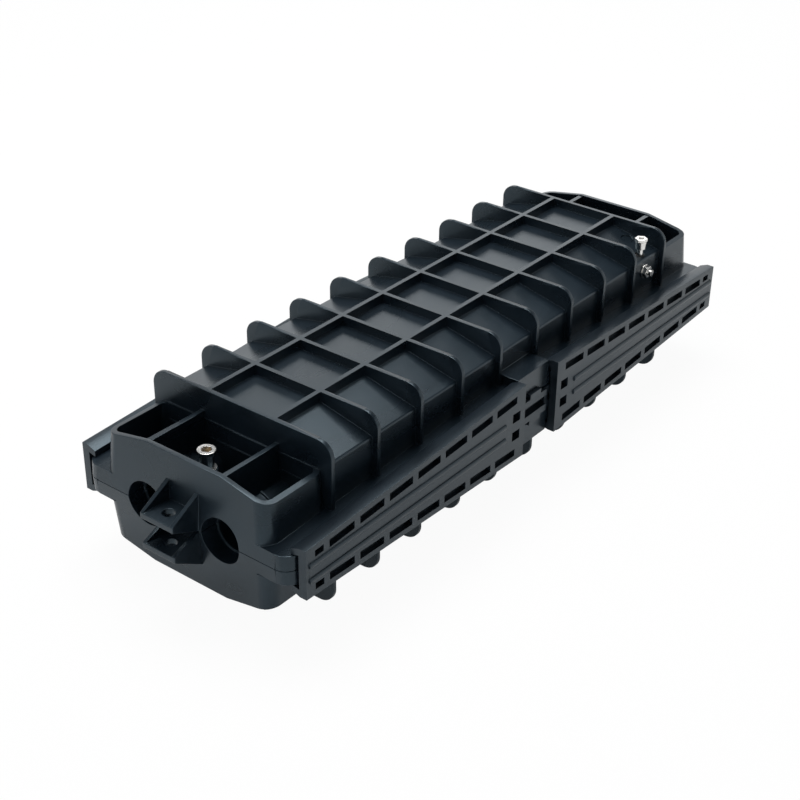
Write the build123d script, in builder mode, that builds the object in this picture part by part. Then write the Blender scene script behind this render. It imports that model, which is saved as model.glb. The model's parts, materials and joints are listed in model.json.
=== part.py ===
from build123d import *
from math import sqrt
import os

# Inline fibre splice closure: two ribbed half shells clamped by four wedge rails.
# The origin is on the surface under the middle of the closure, with X along its length,
# Y across it and Z up. Heights below are counted from the parting plane of the shells.

# Half shell
shell_height = 47.5
rib_pitch = 35.0
bays_per_side = 5
rib_thickness = 2.6
rib_half_width = 62.2
rib_corner_radius = 9.0
keel_offset = 22.0
keel_thickness = 2.6
wall = 2.8
body_half_width = 56.7
roof_height = 42.0
roof_flat_half_width = 22.5
crease_height = 34.4
crease_radius = 1.5

# Open box at each end of the body
end_box_length = 40.2
end_box_half_width = 54.2
end_box_draft = 2.4
end_wall_peak = 35.8
end_wall_shoulder = 30.1
end_wall_flat_half_width = 25.0
end_wall_thickness = 3.0
end_corner_radius = 8.0
end_floor = 4.0
bay_rib_offset = 25.0
bay_rib_thickness = 2.6
bay_rib_height = 35.2
ledge_heights = (20.5, 30.4)
ledge_depth = 0.9
ledge_thickness = 1.0

# Cable ports
port_offset = 24.1
port_radius = 11.6
barrel_wall = 2.6
barrel_reach = 4.0
barrel_ring_count = 3
barrel_ring_pitch = 8.0
barrel_ring_start = 9.0
barrel_ring_width = 1.4
barrel_ring_height = 1.0
grip_ridge_count = 3
grip_ridge_pitch = 12.0
grip_ridge_width = 1.5
grip_ridge_height = 1.2
port_mouth_length = 8.5

# Flange that the rails clamp, and the stop block between the rails
flange_half_width = 70.0
flange_corner_radius = 9.0
flange_top_wall = 3.0
flange_edge_wall = 3.5
seal_land = 6.0
stop_clearance = 0.3

# Wedge rails
rail_outer_face = 75.6
rail_outer_end = 196.2
rail_inner_end = 15.6
rail_small_half_height = 14.1
rail_large_half_height = 22.4
rail_web = 4.6
rail_lip_reach = 4.7
rail_shoulder = 4.3
rail_lip_root = 4.2
rail_lip_droop = 1.3
rail_lip_fall = 3.1
rail_clearance = 0.1
window_count = 7
window_pitch = 22.8
window_length = 18.4
window_height = 4.0
window_border = 3.2
window_start = 17.1
window_depth = 3.2
small_window_length = 6.2
small_window_height = 3.2
small_window_start = 6.7
ridge_height = 4.1
ridge_radius = 1.0
ridge_outer_margin = 2.2
ridge_inner_margin = 17.8
catch_window_start = 4.5
catch_window_length = 7.0
catch_window_low = 2.8
catch_window_high = 8.5

# Lock clips behind the inner ends of the rails
clip_reach = 12.8
clip_arm_low = 2.8
clip_arm_high = 6.8
clip_tooth_half_length = 5.3
clip_tooth_height = 3.0
clip_thickness = 2.4
clip_bridge_half_length = 11.0
clip_bridge_rise = 1.4
clip_post_width = 3.2
clip_clearance = 0.2

# Hanging lugs
lug_reach = 19.0
lug_half_width = 11.1
lug_cheek = 2.4
lug_plate_low = 7.1
lug_plate_thickness = 3.3
lug_cheek_top = 22.0
lug_hole_radius = 3.3
lug_hole_reach = 10.5

# Closing bolts between the ports
closing_x = 182.0
closing_boss_top = 22.0
closing_boss_top_radius = 5.2
closing_boss_base_radius = 7.0
closing_bolt_radius = 2.5
closing_hole_radius = 2.8
closing_bolt_head_flats = 8.0
closing_bolt_head_height = 3.5
closing_nut_top = 33.0
closing_nut_head_radius = 4.8
closing_nut_head_height = 2.2
closing_nut_radius = 3.6
closing_socket_flats = 5.2
closing_socket_depth = 3.2
closing_washer_radius = 4.8
closing_washer_thickness = 1.0
gusset_thickness = 2.0
gusset_reach = 13.0

# Air valve and earthing stud in the corner of the last bay
fitting_boss_half_length = 8.0
fitting_boss_inner_y = 44.0
fitting_boss_bottom = 21.0
valve_x = 141.0
valve_y = 52.0
valve_foot = 31.5
valve_neck_top = 39.5
valve_neck_radius = 1.55
valve_body_radius = 2.6
valve_body_length = 4.9
valve_channel_radius = 0.7
valve_cap_flats = 8.2
valve_cap_height = 1.8
valve_cap_hole_radius = 1.9
valve_cap_hole_depth = 1.0
valve_seal_radius = 2.9
valve_seal_thickness = 0.9
earth_x = 139.5
earth_height = 26.5
earth_stud_radius = 2.0
earth_stud_outside = 5.6
earth_stud_inside = 7.0
earth_nut_flats = 7.0
earth_nut_height = 2.6
earth_washer_radius = 4.3
earth_washer_thickness = 0.8
recess_x = 150.0
recess_y = 38.0
recess_radius = 4.5
recess_depth = 0.8

# Seals in the parting plane
seal_width = 3.0
seal_height = 2.0
seal_end_x = 172.0
seal_port_margin = 3.6

# Steel bracket in the lower shell
bracket_thickness = 1.5
bracket_half_width = 42.0
bracket_half_length = 126.0
bracket_corner_radius = 5.0
bracket_bottom = -32.0
bracket_screw_x = 117.0
bracket_screw_y = 15.0
bracket_boss_radius = 5.0
bracket_screw_radius = 1.5
bracket_screw_head_radius = 3.2
bracket_screw_head_height = 1.8
bracket_screw_length = 7.0
tongue_half_width = 5.0
tongue_length = 20.0

# Cable clamps round the bracket's tongues
hose_clamp_radius = 10.9
hose_clamp_band = 0.9
hose_clamp_width = 9.0
hose_screw_radius = 2.6
hose_screw_length = 12.0

# Clamps for the cables' strength members
strength_post_x = 108.0
strength_post_size = 10.0
strength_post_top = -4.0
strength_plate_length = 19.0
strength_plate_thickness = 2.0
strength_screw_radius = 1.8
strength_screw_length = 10.0
strength_screw_head_radius = 3.4
strength_screw_head_height = 2.4

# Splice trays
tray_count = 4
tray_near_end = -101.0
tray_far_end = 88.0
tray_half_width = 43.0
tray_corner_radius = 18.0
tray_height = 11.0
tray_wall = 1.5
tray_floor = 1.5
tray_gap = 0.3
tray_guide_radius = 22.0
tray_guide_offset = 63.0
tray_guide_height = 7.5
tray_entry_width = 10.0
tray_entry_offset = 22.0
holder_length = 62.0
holder_width = 38.0
holder_base = 1.5
holder_fin_count = 9
holder_fin_height = 5.0
holder_fin_thickness = 1.3
cover_thickness = 2.0
strap_width = 20.0
strap_thickness = 1.2
strap_clearance = 0.3

# Tray hinges
hinge_barrel_radius = 3.2
hinge_barrel_length = 16.0
hinge_pin_radius = 1.5
hinge_gap = 0.4
hinge_ear_thickness = 4.0
hinge_back_thickness = 1.5

# Radial clearance of a pin or screw in its own hole, and of what lies in a groove
pin_clearance = 0.05
groove_clearance = 0.1

# Places that follow from the sizes above
outer_rib_x = rib_pitch * (bays_per_side - 0.5)
body_half_length = outer_rib_x + rib_thickness / 2
cavity_half_length = body_half_length - wall
cavity_half_width = body_half_width - wall
end_x = body_half_length + end_box_length
barrel_radius = port_radius + barrel_wall
barrel_start = cavity_half_length - barrel_reach
stop_half_length = rail_inner_end - stop_clearance
rail_slope = (rail_large_half_height - rail_small_half_height) / (rail_outer_end - rail_inner_end)
rail_web_face = rail_outer_face - rail_web
rail_lip_edge = rail_web_face - rail_lip_reach
clip_back = flange_half_width - clip_clearance - clip_bridge_rise
roof_slope = (roof_height - crease_height) / (body_half_width - roof_flat_half_width)
seal_y = cavity_half_width + seal_land / 2
port_seal_edge = port_offset + port_radius + seal_port_margin
bracket_top = bracket_bottom + bracket_thickness
tray_base = bracket_top + tray_gap
tray_pitch = tray_height + tray_gap
tray_middle = (tray_near_end + tray_far_end) / 2
tray_length = tray_far_end - tray_near_end
stack_top = tray_base + tray_count * tray_pitch - tray_gap
hinge_x = tray_far_end + hinge_barrel_radius + hinge_gap
hinge_ear_y = hinge_barrel_length / 2 + hinge_gap + hinge_ear_thickness / 2

standing = (Align.CENTER, Align.CENTER, Align.MIN)
hanging = (Align.CENTER, Align.CENTER, Align.MAX)


def rib_x(index):
    return rib_pitch * (index + 0.5)


def roof_level(y):
    return roof_height - roof_slope * (y - roof_flat_half_width)


def rail_half_height(x):
    return rail_small_half_height + rail_slope * (rail_outer_end - x)


def flange_height(x):
    return rail_half_height(x) - rail_lip_root - rail_lip_droop - rail_clearance


def section_plane(x):
    return Plane(origin=(x, 0, shell_height), x_dir=(0, 1, 0), z_dir=(1, 0, 0))


def long_plane(y):
    return Plane(origin=(0, y, shell_height), x_dir=(1, 0, 0), z_dir=(0, -1, 0))


def level(z):
    return Plane.XY.offset(shell_height + z)


def at(x, y, z):
    return Location((x, y, shell_height + z))


def along_x(x, y, z):
    return Location((x, y, shell_height + z), (0, 90, 0))


def along_y(x, y, z):
    return Location((x, y, shell_height + z), (-90, 0, 0))


os.makedirs("parts", exist_ok=True)

# Flange on a quarter of a shell, wedge-shaped towards the end, with its stop block
with BuildPart() as flange:
    with BuildSketch(long_plane(0)):
        Polygon(
            (0, 0),
            (0, rail_large_half_height),
            (stop_half_length, rail_large_half_height),
            (stop_half_length, flange_height(stop_half_length)),
            (end_x, flange_height(end_x)),
            (end_x, 0),
            align=None,
        )
    extrude(amount=-flange_half_width)
    end_corners = flange.edges().filter_by(Axis.Z).group_by(Axis.X)[-1]
    fillet(end_corners.sort_by(Axis.Y)[-1], flange_corner_radius)

# Pockets cored from the flange's parting face, one in each bay between the cross ribs
core_width = flange_half_width - flange_edge_wall - cavity_half_width - seal_land
with BuildPart() as flange_cores:
    with BuildSketch(long_plane(flange_half_width - flange_edge_wall)):
        Polygon(
            (0, 0),
            (0, flange_height(0) - flange_top_wall),
            (outer_rib_x, flange_height(outer_rib_x) - flange_top_wall),
            (outer_rib_x, 0),
            align=None,
        )
    extrude(amount=core_width)
    with Locations([at(rib_x(index), flange_half_width, 0) for index in range(bays_per_side)]):
        Box(rib_thickness, flange_half_width, flange_half_width, mode=Mode.SUBTRACT)

# End box: side walls with draft under an arched end wall, and the hollow inside it
with BuildPart() as end_block:
    block_length = end_x - cavity_half_length
    for z, draft in ((0, end_box_draft), (end_wall_shoulder, 0)):
        with BuildSketch(level(z)):
            with Locations((end_x - block_length / 2, 0)):
                RectangleRounded(block_length, 2 * (end_box_half_width + draft), end_corner_radius)
    loft(ruled=True)
    extrude(end_block.faces().sort_by(Axis.Z)[-1], amount=end_wall_peak - end_wall_shoulder)
    with BuildSketch(section_plane(cavity_half_length)):
        Polygon(
            (-body_half_width, 0),
            (-body_half_width, end_wall_shoulder),
            (-end_box_half_width, end_wall_shoulder),
            (-end_wall_flat_half_width, end_wall_peak),
            (end_wall_flat_half_width, end_wall_peak),
            (end_box_half_width, end_wall_shoulder),
            (body_half_width, end_wall_shoulder),
            (body_half_width, 0),
            align=None,
        )
    extrude(amount=block_length, mode=Mode.INTERSECT)

with BuildPart() as end_hollow:
    hollow_length = end_box_length - end_wall_thickness
    floor_draft = end_box_draft * (1 - end_floor / end_wall_shoulder)
    hollow_radius = end_corner_radius - end_wall_thickness
    for z, draft in ((end_floor, floor_draft), (end_wall_shoulder, 0)):
        hollow_half_width = end_box_half_width + draft - end_wall_thickness
        with BuildSketch(level(z)):
            with Locations((body_half_length + hollow_length / 2, 0)):
                RectangleRounded(hollow_length, 2 * hollow_half_width, hollow_radius)
    loft(ruled=True)
    extrude(end_hollow.faces().sort_by(Axis.Z)[-1], amount=shell_height - end_wall_shoulder)

# Hollow in the flange's edge that a lock clip lies in
with BuildPart() as clip_pocket:
    pocket_floor = clip_back - groove_clearance
    pocket_reach = rail_inner_end + clip_reach + clip_clearance
    with Locations(at(0, pocket_floor, 0)):
        Box(2 * pocket_reach, flange_half_width, 2 * (clip_arm_high + clip_clearance),
            align=(Align.CENTER, Align.MIN, Align.CENTER))
        Box(2 * (clip_tooth_half_length + clip_clearance), flange_half_width,
            2 * (clip_arm_high + clip_tooth_height + clip_clearance),
            align=(Align.CENTER, Align.MIN, Align.CENTER))

# One quarter of a shell: the far half of its back side
with BuildPart() as quarter:
    add(flange.part)
    with BuildSketch(section_plane(0)) as body_section:
        Polygon(
            (0, 0),
            (0, roof_height),
            (roof_flat_half_width, roof_height),
            (body_half_width, crease_height),
            (body_half_width, 0),
            align=None,
        )
        crease = body_section.vertices().group_by(Axis.X)[-1].sort_by(Axis.Y)[-1]
        fillet(crease, crease_radius)
    extrude(amount=body_half_length)
    rib_planes = [section_plane(rib_x(index) - rib_thickness / 2) for index in range(bays_per_side)]
    with BuildSketch(*rib_planes) as rib_section:
        Rectangle(rib_half_width, shell_height, align=(Align.MIN, Align.MIN))
        rib_corner = rib_section.vertices().group_by(Axis.X)[-1].sort_by(Axis.Y)[-1]
        fillet(rib_corner, rib_corner_radius)
    extrude(amount=rib_thickness)
    with Locations(at(0, keel_offset, 0)):
        Box(body_half_length, keel_thickness, shell_height, align=(Align.MIN, Align.CENTER, Align.MIN))
    add(end_block.part)
    with BuildSketch(section_plane(0)):
        Polygon(
            (0, 0),
            (0, roof_height - wall),
            (roof_flat_half_width, roof_height - wall),
            (cavity_half_width, crease_height - wall),
            (cavity_half_width, 0),
            align=None,
        )
    extrude(amount=cavity_half_length, mode=Mode.SUBTRACT)
    add(end_hollow.part, mode=Mode.SUBTRACT)

    # Ribs and ledges in the end box
    with Locations(at(body_half_length, bay_rib_offset, 0)):
        Box(end_box_length - end_wall_thickness / 2, bay_rib_thickness, bay_rib_height,
            align=(Align.MIN, Align.CENTER, Align.MIN))
    with Locations([at(body_half_length, 0, z) for z in ledge_heights]):
        Box(ledge_depth, 2 * (end_box_half_width - end_wall_thickness), ledge_thickness,
            align=(Align.MIN, Align.CENTER, Align.CENTER))

    # Port barrel with its stiffening rings
    with Locations(along_x(barrel_start, port_offset, 0)):
        Cylinder(barrel_radius, end_x - barrel_start, align=standing)
    for index in range(barrel_ring_count):
        ring_x = end_x - barrel_ring_start - index * barrel_ring_pitch
        with Locations(along_x(ring_x, port_offset, 0)):
            Cylinder(barrel_radius + barrel_ring_height, barrel_ring_width)

    # Boss of the closing bolt, stayed by gussets
    with Locations(at(closing_x, 0, 0)):
        Cone(closing_boss_base_radius, closing_boss_top_radius, closing_boss_top, align=standing)
    with BuildSketch(section_plane(closing_x - gusset_thickness / 2)):
        Polygon(
            (-gusset_reach, 0),
            (-closing_boss_top_radius, closing_boss_top - gusset_thickness),
            (closing_boss_top_radius, closing_boss_top - gusset_thickness),
            (gusset_reach, 0),
            align=None,
        )
    extrude(amount=gusset_thickness)

    # Hanging lug: a plate with a hole between two cheeks
    lug_root = end_x - end_wall_thickness / 2
    with BuildSketch(long_plane(lug_half_width)):
        Polygon(
            (lug_root, 0),
            (end_x, 0),
            (end_x + lug_reach, lug_plate_low),
            (end_x + lug_reach, lug_plate_low + lug_plate_thickness),
            (end_x, lug_cheek_top),
            (lug_root, lug_cheek_top),
            align=None,
        )
    extrude(amount=lug_cheek)
    with Locations(at(lug_root, 0, lug_plate_low)):
        Box(end_x + lug_reach - lug_root, 2 * lug_half_width, lug_plate_thickness,
            align=(Align.MIN, Align.CENTER, Align.MIN))
    with Locations(at(end_x + lug_hole_reach, 0, lug_plate_low)):
        Cylinder(lug_hole_radius, 3 * lug_plate_thickness, mode=Mode.SUBTRACT)

    # Bore of the port with the ridges that grip the cable
    with Locations(along_x(barrel_start - barrel_reach, port_offset, 0)):
        Cylinder(port_radius, end_x + lug_reach - barrel_start, align=standing, mode=Mode.SUBTRACT)
    ridge_ends = [end_x - port_mouth_length - index * grip_ridge_pitch for index in range(grip_ridge_count)]
    with BuildSketch(*[section_plane(x - grip_ridge_width) for x in ridge_ends]):
        with Locations((port_offset, 0)):
            Circle(port_radius + barrel_wall / 2)
            Circle(port_radius - grip_ridge_height, mode=Mode.SUBTRACT)
    extrude(amount=grip_ridge_width)

    with Locations(at(closing_x, 0, 0)):
        Cylinder(closing_hole_radius, 2 * shell_height, mode=Mode.SUBTRACT)
    add(flange_cores.part, mode=Mode.SUBTRACT)
    add(clip_pocket.part, mode=Mode.SUBTRACT)
    split(bisect_by=Plane.XZ, keep=Keep.BOTTOM)
    split(bisect_by=level(0), keep=Keep.TOP)

with BuildPart() as half_shell:
    add(quarter.part)
    mirror(about=Plane.YZ)
    mirror(about=Plane.XZ)

# Upper shell, with the boss for the valve and the earthing stud on its front side
with BuildPart() as upper_shell:
    add(half_shell.part)
    skin_middle = body_half_width - wall / 2
    with BuildSketch(section_plane(valve_x - fitting_boss_half_length)):
        Polygon(
            (-skin_middle, fitting_boss_bottom),
            (-skin_middle, roof_level(skin_middle) - wall / 2),
            (-fitting_boss_inner_y, roof_level(fitting_boss_inner_y) - wall / 2),
            (-fitting_boss_inner_y, fitting_boss_bottom),
            align=None,
        )
    extrude(amount=2 * fitting_boss_half_length)
    seal_floor = roof_level(valve_y + valve_seal_radius) - valve_seal_thickness
    with Locations(at(valve_x, -valve_y, valve_foot)):
        Cylinder(valve_neck_radius + pin_clearance, shell_height, align=standing, mode=Mode.SUBTRACT)
    with Locations(at(valve_x, -valve_y, seal_floor)):
        Cylinder(valve_seal_radius + groove_clearance, shell_height, align=standing, mode=Mode.SUBTRACT)
    with Locations(along_y(valve_x, -valve_y, valve_foot + valve_channel_radius)):
        Cylinder(valve_channel_radius, valve_y, align=standing, mode=Mode.SUBTRACT)
    with Locations(along_y(earth_x, -body_half_width, earth_height)):
        Cylinder(earth_stud_radius + pin_clearance, body_half_width, mode=Mode.SUBTRACT)
    slope_plane = Plane(
        origin=(recess_x, -recess_y, shell_height + roof_level(recess_y)),
        x_dir=(1, 0, 0),
        z_dir=(0, -roof_slope, 1),
    )
    with BuildSketch(slope_plane):
        Circle(recess_radius)
    extrude(amount=-recess_depth, mode=Mode.SUBTRACT)
upper_shell.part.label = "upper_shell"
export_step(upper_shell.part, "parts/upper_shell.step")


def side_seal_plan(side, margin):
    """Draws a side's seal strip and its returns towards the ports."""
    width = seal_width + 2 * margin
    return_length = seal_y - port_seal_edge
    with Locations((0, side * seal_y)):
        Rectangle(2 * seal_end_x + width, width)
    with Locations([(end * seal_end_x, side * (seal_y - return_length / 2)) for end in (-1, 1)]):
        Rectangle(width, return_length + 2 * margin)


def end_seal_plan(end, margin):
    """Draws the short seal strip between the two ports of an end."""
    length = 2 * (port_offset - port_radius - seal_port_margin + margin)
    with Locations((end * seal_end_x, 0)):
        Rectangle(seal_width + 2 * margin, length)


# Lower shell, with the seals' grooves and the bracket's screw bosses
with BuildPart() as lower_shell:
    mirror(half_shell.part, about=level(0))
    with BuildSketch(level(0)):
        for side in (-1, 1):
            side_seal_plan(side, groove_clearance)
            end_seal_plan(side, groove_clearance)
    extrude(amount=-seal_height, mode=Mode.SUBTRACT)
    boss_foot = wall / 2 - roof_height
    with BuildSketch(level(boss_foot)):
        with GridLocations(2 * bracket_screw_x, 2 * bracket_screw_y, 2, 2):
            Circle(bracket_boss_radius)
            Circle(bracket_screw_radius + pin_clearance, mode=Mode.SUBTRACT)
    extrude(amount=bracket_bottom - boss_foot)
lower_shell.part.label = "lower_shell"
export_step(lower_shell.part, "parts/lower_shell.step")

# Seals, each lying in its groove
for side, side_name in ((-1, "front"), (1, "back")):
    with BuildPart() as side_seal:
        with BuildSketch(level(-seal_height)):
            side_seal_plan(side, 0)
        extrude(amount=seal_height)
    side_seal.part.label = f"side_seal_{side_name}"
    export_step(side_seal.part, f"parts/side_seal_{side_name}.step")

for end, end_name in ((-1, "near"), (1, "far")):
    with BuildPart() as end_seal:
        with BuildSketch(level(-seal_height)):
            end_seal_plan(end, 0)
        extrude(amount=seal_height)
    end_seal.part.label = f"end_seal_{end_name}"
    export_step(end_seal.part, f"parts/end_seal_{end_name}.step")


def draw_rail_section(x):
    """Draws the rail's C section at a distance from the middle."""
    top = rail_half_height(x)
    upper_half = [
        (rail_outer_face, top),
        (rail_outer_face - rail_shoulder, top),
        (rail_lip_edge, top - rail_lip_fall),
        (rail_lip_edge, top - rail_lip_root - rail_lip_droop),
        (rail_web_face, top - rail_lip_root),
    ]
    lower_half = [(y, -z) for y, z in reversed(upper_half)]
    Polygon(*upper_half, *lower_half, align=None)


def draw_window(start, length, height, sign):
    """Draws a window whose long edges follow the rail's taper."""
    outer_x = rail_outer_end - start
    inner_x = outer_x - length
    outer_z = rail_half_height(outer_x) - window_border
    inner_z = rail_half_height(inner_x) - window_border
    Polygon(
        (outer_x, sign * outer_z),
        (inner_x, sign * inner_z),
        (inner_x, sign * (inner_z - height)),
        (outer_x, sign * (outer_z - height)),
        align=None,
    )


# Wedge rail: a C section that grows towards the middle, with cored windows and ridges
with BuildPart() as rail_form:
    for x in (rail_inner_end, rail_outer_end):
        with BuildSketch(section_plane(x)):
            draw_rail_section(x)
    loft(ruled=True)
    with BuildSketch(long_plane(rail_outer_face)):
        for sign in (-1, 1):
            draw_window(small_window_start, small_window_length, small_window_height, sign)
            for index in range(window_count):
                draw_window(window_start + index * window_pitch, window_length, window_height, sign)
    extrude(amount=window_depth, mode=Mode.SUBTRACT)
    catch_x = rail_inner_end + catch_window_start + catch_window_length / 2
    catch_z = (catch_window_low + catch_window_high) / 2
    with BuildSketch(long_plane(rail_outer_face)):
        with Locations((catch_x, catch_z), (catch_x, -catch_z)):
            Rectangle(catch_window_length, catch_window_high - catch_window_low)
    extrude(amount=2 * rail_web, mode=Mode.SUBTRACT)
    ridge_start = rail_inner_end + ridge_inner_margin
    ridge_length = rail_outer_end - ridge_outer_margin - ridge_start
    with Locations([along_x(ridge_start, rail_outer_face, sign * ridge_height) for sign in (-1, 1)]):
        Cylinder(ridge_radius, ridge_length, align=standing)
    ridge_rims = rail_form.edges().filter_by(GeomType.CIRCLE).filter_by(
        lambda edge: abs(edge.radius - ridge_radius) < groove_clearance
    )
    fillet(ridge_rims, ridge_radius / 2)

for x_side, x_name in ((-1, "near"), (1, "far")):
    for y_side, y_name in ((-1, "front"), (1, "back")):
        with BuildPart() as rail:
            add(rail_form.part)
            if x_side < 0:
                mirror(about=Plane.YZ, mode=Mode.REPLACE)
            if y_side < 0:
                mirror(about=Plane.XZ, mode=Mode.REPLACE)
        rail.part.label = f"rail_{x_name}_{y_name}"
        export_step(rail.part, f"parts/rail_{x_name}_{y_name}.step")

# Lock clip: a ladder whose arms lie behind the webs of both rails
for side, side_name in ((-1, "front"), (1, "back")):
    with BuildPart() as lock_clip:
        arm_width = clip_arm_high - clip_arm_low
        arm_z = (clip_arm_high + clip_arm_low) / 2
        arm_reach = rail_inner_end + clip_reach
        bridge_depth = clip_thickness + clip_bridge_rise
        post_x = clip_bridge_half_length + clip_post_width / 2
        tooth_z = clip_arm_high + clip_tooth_height / 2
        outward = Align.MIN if side > 0 else Align.MAX
        with Locations([at(0, side * clip_back, sign * arm_z) for sign in (-1, 1)]):
            Box(2 * arm_reach, clip_thickness, arm_width, align=(Align.CENTER, outward, Align.CENTER))
            Box(2 * clip_bridge_half_length, bridge_depth, arm_width,
                align=(Align.CENTER, outward, Align.CENTER))
        with Locations([at(0, side * clip_back, sign * tooth_z) for sign in (-1, 1)]):
            Box(2 * clip_tooth_half_length, bridge_depth, clip_tooth_height,
                align=(Align.CENTER, outward, Align.CENTER))
        with Locations([at(end * post_x, side * clip_back, 0) for end in (-1, 1)]):
            Box(clip_post_width, clip_thickness, 2 * clip_arm_high,
                align=(Align.CENTER, outward, Align.CENTER))
    lock_clip.part.label = f"lock_clip_{side_name}"
    export_step(lock_clip.part, f"parts/lock_clip_{side_name}.step")

# Closing bolt, washer and sleeve nut of each end
for end, end_name in ((-1, "near"), (1, "far")):
    with BuildPart() as closing_bolt:
        with BuildSketch(level(-closing_boss_top)):
            with Locations((end * closing_x, 0)):
                RegularPolygon(closing_bolt_head_flats / 2, 6, major_radius=False)
        extrude(amount=-closing_bolt_head_height)
        bolt_top = closing_nut_top - closing_socket_depth - closing_nut_head_height
        with Locations(at(end * closing_x, 0, -closing_boss_top)):
            Cylinder(closing_bolt_radius, closing_boss_top + bolt_top, align=standing)
    closing_bolt.part.label = f"closing_bolt_{end_name}"
    export_step(closing_bolt.part, f"parts/closing_bolt_{end_name}.step")

    with BuildPart() as closing_washer:
        with BuildSketch(level(closing_boss_top)):
            with Locations((end * closing_x, 0)):
                Circle(closing_washer_radius)
                Circle(closing_hole_radius, mode=Mode.SUBTRACT)
        extrude(amount=closing_washer_thickness)
    closing_washer.part.label = f"closing_washer_{end_name}"
    export_step(closing_washer.part, f"parts/closing_washer_{end_name}.step")

    nut_foot = closing_boss_top + closing_washer_thickness
    with BuildPart() as closing_nut:
        with Locations(at(end * closing_x, 0, nut_foot)):
            Cylinder(closing_nut_radius, closing_nut_top - nut_foot, align=standing)
        with Locations(at(end * closing_x, 0, closing_nut_top)):
            Cylinder(closing_nut_head_radius, closing_nut_head_height, align=hanging)
            Cylinder(closing_bolt_radius + pin_clearance, 2 * closing_nut_top, mode=Mode.SUBTRACT)
        with BuildSketch(level(closing_nut_top)):
            with Locations((end * closing_x, 0)):
                RegularPolygon(closing_socket_flats / 2, 6, major_radius=False)
        extrude(amount=-closing_socket_depth, mode=Mode.SUBTRACT)
    closing_nut.part.label = f"closing_nut_{end_name}"
    export_step(closing_nut.part, f"parts/closing_nut_{end_name}.step")

# Air valve: its neck stands in the boss, its cap turns on its body
valve_top = valve_neck_top + valve_body_length
with BuildPart() as valve_stem:
    with Locations(at(valve_x, -valve_y, valve_foot)):
        Cylinder(valve_neck_radius, valve_neck_top - valve_foot, align=standing)
    with Locations(at(valve_x, -valve_y, valve_neck_top)):
        Cylinder(valve_body_radius, valve_body_length, align=standing)
valve_stem.part.label = "valve_stem"
export_step(valve_stem.part, "parts/valve_stem.step")

with BuildPart() as valve_cap:
    with BuildSketch(level(valve_top)):
        with Locations((valve_x, -valve_y)):
            RegularPolygon(valve_cap_flats / 2, 6, major_radius=False)
    extrude(amount=valve_cap_height)
    with Locations(at(valve_x, -valve_y, valve_top + valve_cap_height)):
        Cylinder(valve_cap_hole_radius, 2 * valve_cap_hole_depth, mode=Mode.SUBTRACT)
valve_cap.part.label = "valve_cap"
export_step(valve_cap.part, "parts/valve_cap.step")

with BuildPart() as valve_seal:
    with BuildSketch(level(seal_floor)):
        with Locations((valve_x, -valve_y)):
            Circle(valve_seal_radius)
            Circle(valve_neck_radius + pin_clearance, mode=Mode.SUBTRACT)
    extrude(amount=valve_seal_thickness)
valve_seal.part.label = "valve_seal"
export_step(valve_seal.part, "parts/valve_seal.step")

# Earthing stud through the front wall, with a nut and a washer on each side
stud_low = -(body_half_width + earth_stud_outside)
stud_length = body_half_width + earth_stud_outside - fitting_boss_inner_y + earth_stud_inside
with BuildPart() as earth_stud:
    with Locations(along_y(earth_x, stud_low, earth_height)):
        Cylinder(earth_stud_radius, stud_length, align=standing)
earth_stud.part.label = "earth_stud"
export_step(earth_stud.part, "parts/earth_stud.step")

inner_washer_y = -fitting_boss_inner_y
outer_washer_y = -body_half_width - earth_washer_thickness
with BuildPart() as earth_washers:
    for y in (inner_washer_y, outer_washer_y):
        with BuildSketch(Plane(along_y(earth_x, y, earth_height))):
            Circle(earth_washer_radius)
            Circle(earth_stud_radius + pin_clearance, mode=Mode.SUBTRACT)
    extrude(amount=earth_washer_thickness)
earth_washers.part.label = "earth_washers"
export_step(earth_washers.part, "parts/earth_washers.step")

with BuildPart() as earth_nuts:
    for y in (inner_washer_y + earth_washer_thickness, outer_washer_y - earth_nut_height):
        with BuildSketch(Plane(along_y(earth_x, y, earth_height))):
            RegularPolygon(earth_nut_flats / 2, 6, major_radius=False)
            Circle(earth_stud_radius + pin_clearance, mode=Mode.SUBTRACT)
    extrude(amount=earth_nut_height)
earth_nuts.part.label = "earth_nuts"
export_step(earth_nuts.part, "parts/earth_nuts.step")

# Steel bracket, with a tongue in line with each port that a cable is clamped to
tongue_reach = hose_clamp_radius - groove_clearance
tongue_bottom = -sqrt(tongue_reach**2 - tongue_half_width**2)
tongue_top = tongue_bottom + bracket_thickness
with BuildPart() as tray_bracket:
    with BuildSketch(level(bracket_bottom)):
        RectangleRounded(2 * bracket_half_length, 2 * bracket_half_width, bracket_corner_radius)
        with GridLocations(2 * bracket_screw_x, 2 * bracket_screw_y, 2, 2):
            Circle(bracket_screw_radius + pin_clearance, mode=Mode.SUBTRACT)
    extrude(amount=bracket_thickness)
    for end in (-1, 1):
        with BuildSketch(*[long_plane(side * port_offset + tongue_half_width) for side in (-1, 1)]):
            Polygon(
                (end * (bracket_half_length - bracket_thickness), bracket_bottom),
                (end * bracket_half_length, bracket_bottom),
                (end * bracket_half_length, tongue_bottom),
                (end * (bracket_half_length + tongue_length), tongue_bottom),
                (end * (bracket_half_length + tongue_length), tongue_top),
                (end * (bracket_half_length - bracket_thickness), tongue_top),
                align=None,
            )
        extrude(amount=2 * tongue_half_width)
tray_bracket.part.label = "tray_bracket"
export_step(tray_bracket.part, "parts/tray_bracket.step")

with BuildPart() as bracket_screws:
    for x in (-bracket_screw_x, bracket_screw_x):
        for y in (-bracket_screw_y, bracket_screw_y):
            with Locations(at(x, y, bracket_top)):
                Cylinder(bracket_screw_head_radius, bracket_screw_head_height, align=standing)
                Cylinder(bracket_screw_radius, bracket_screw_length, align=hanging)
bracket_screws.part.label = "bracket_screws"
export_step(bracket_screws.part, "parts/bracket_screws.step")

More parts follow.
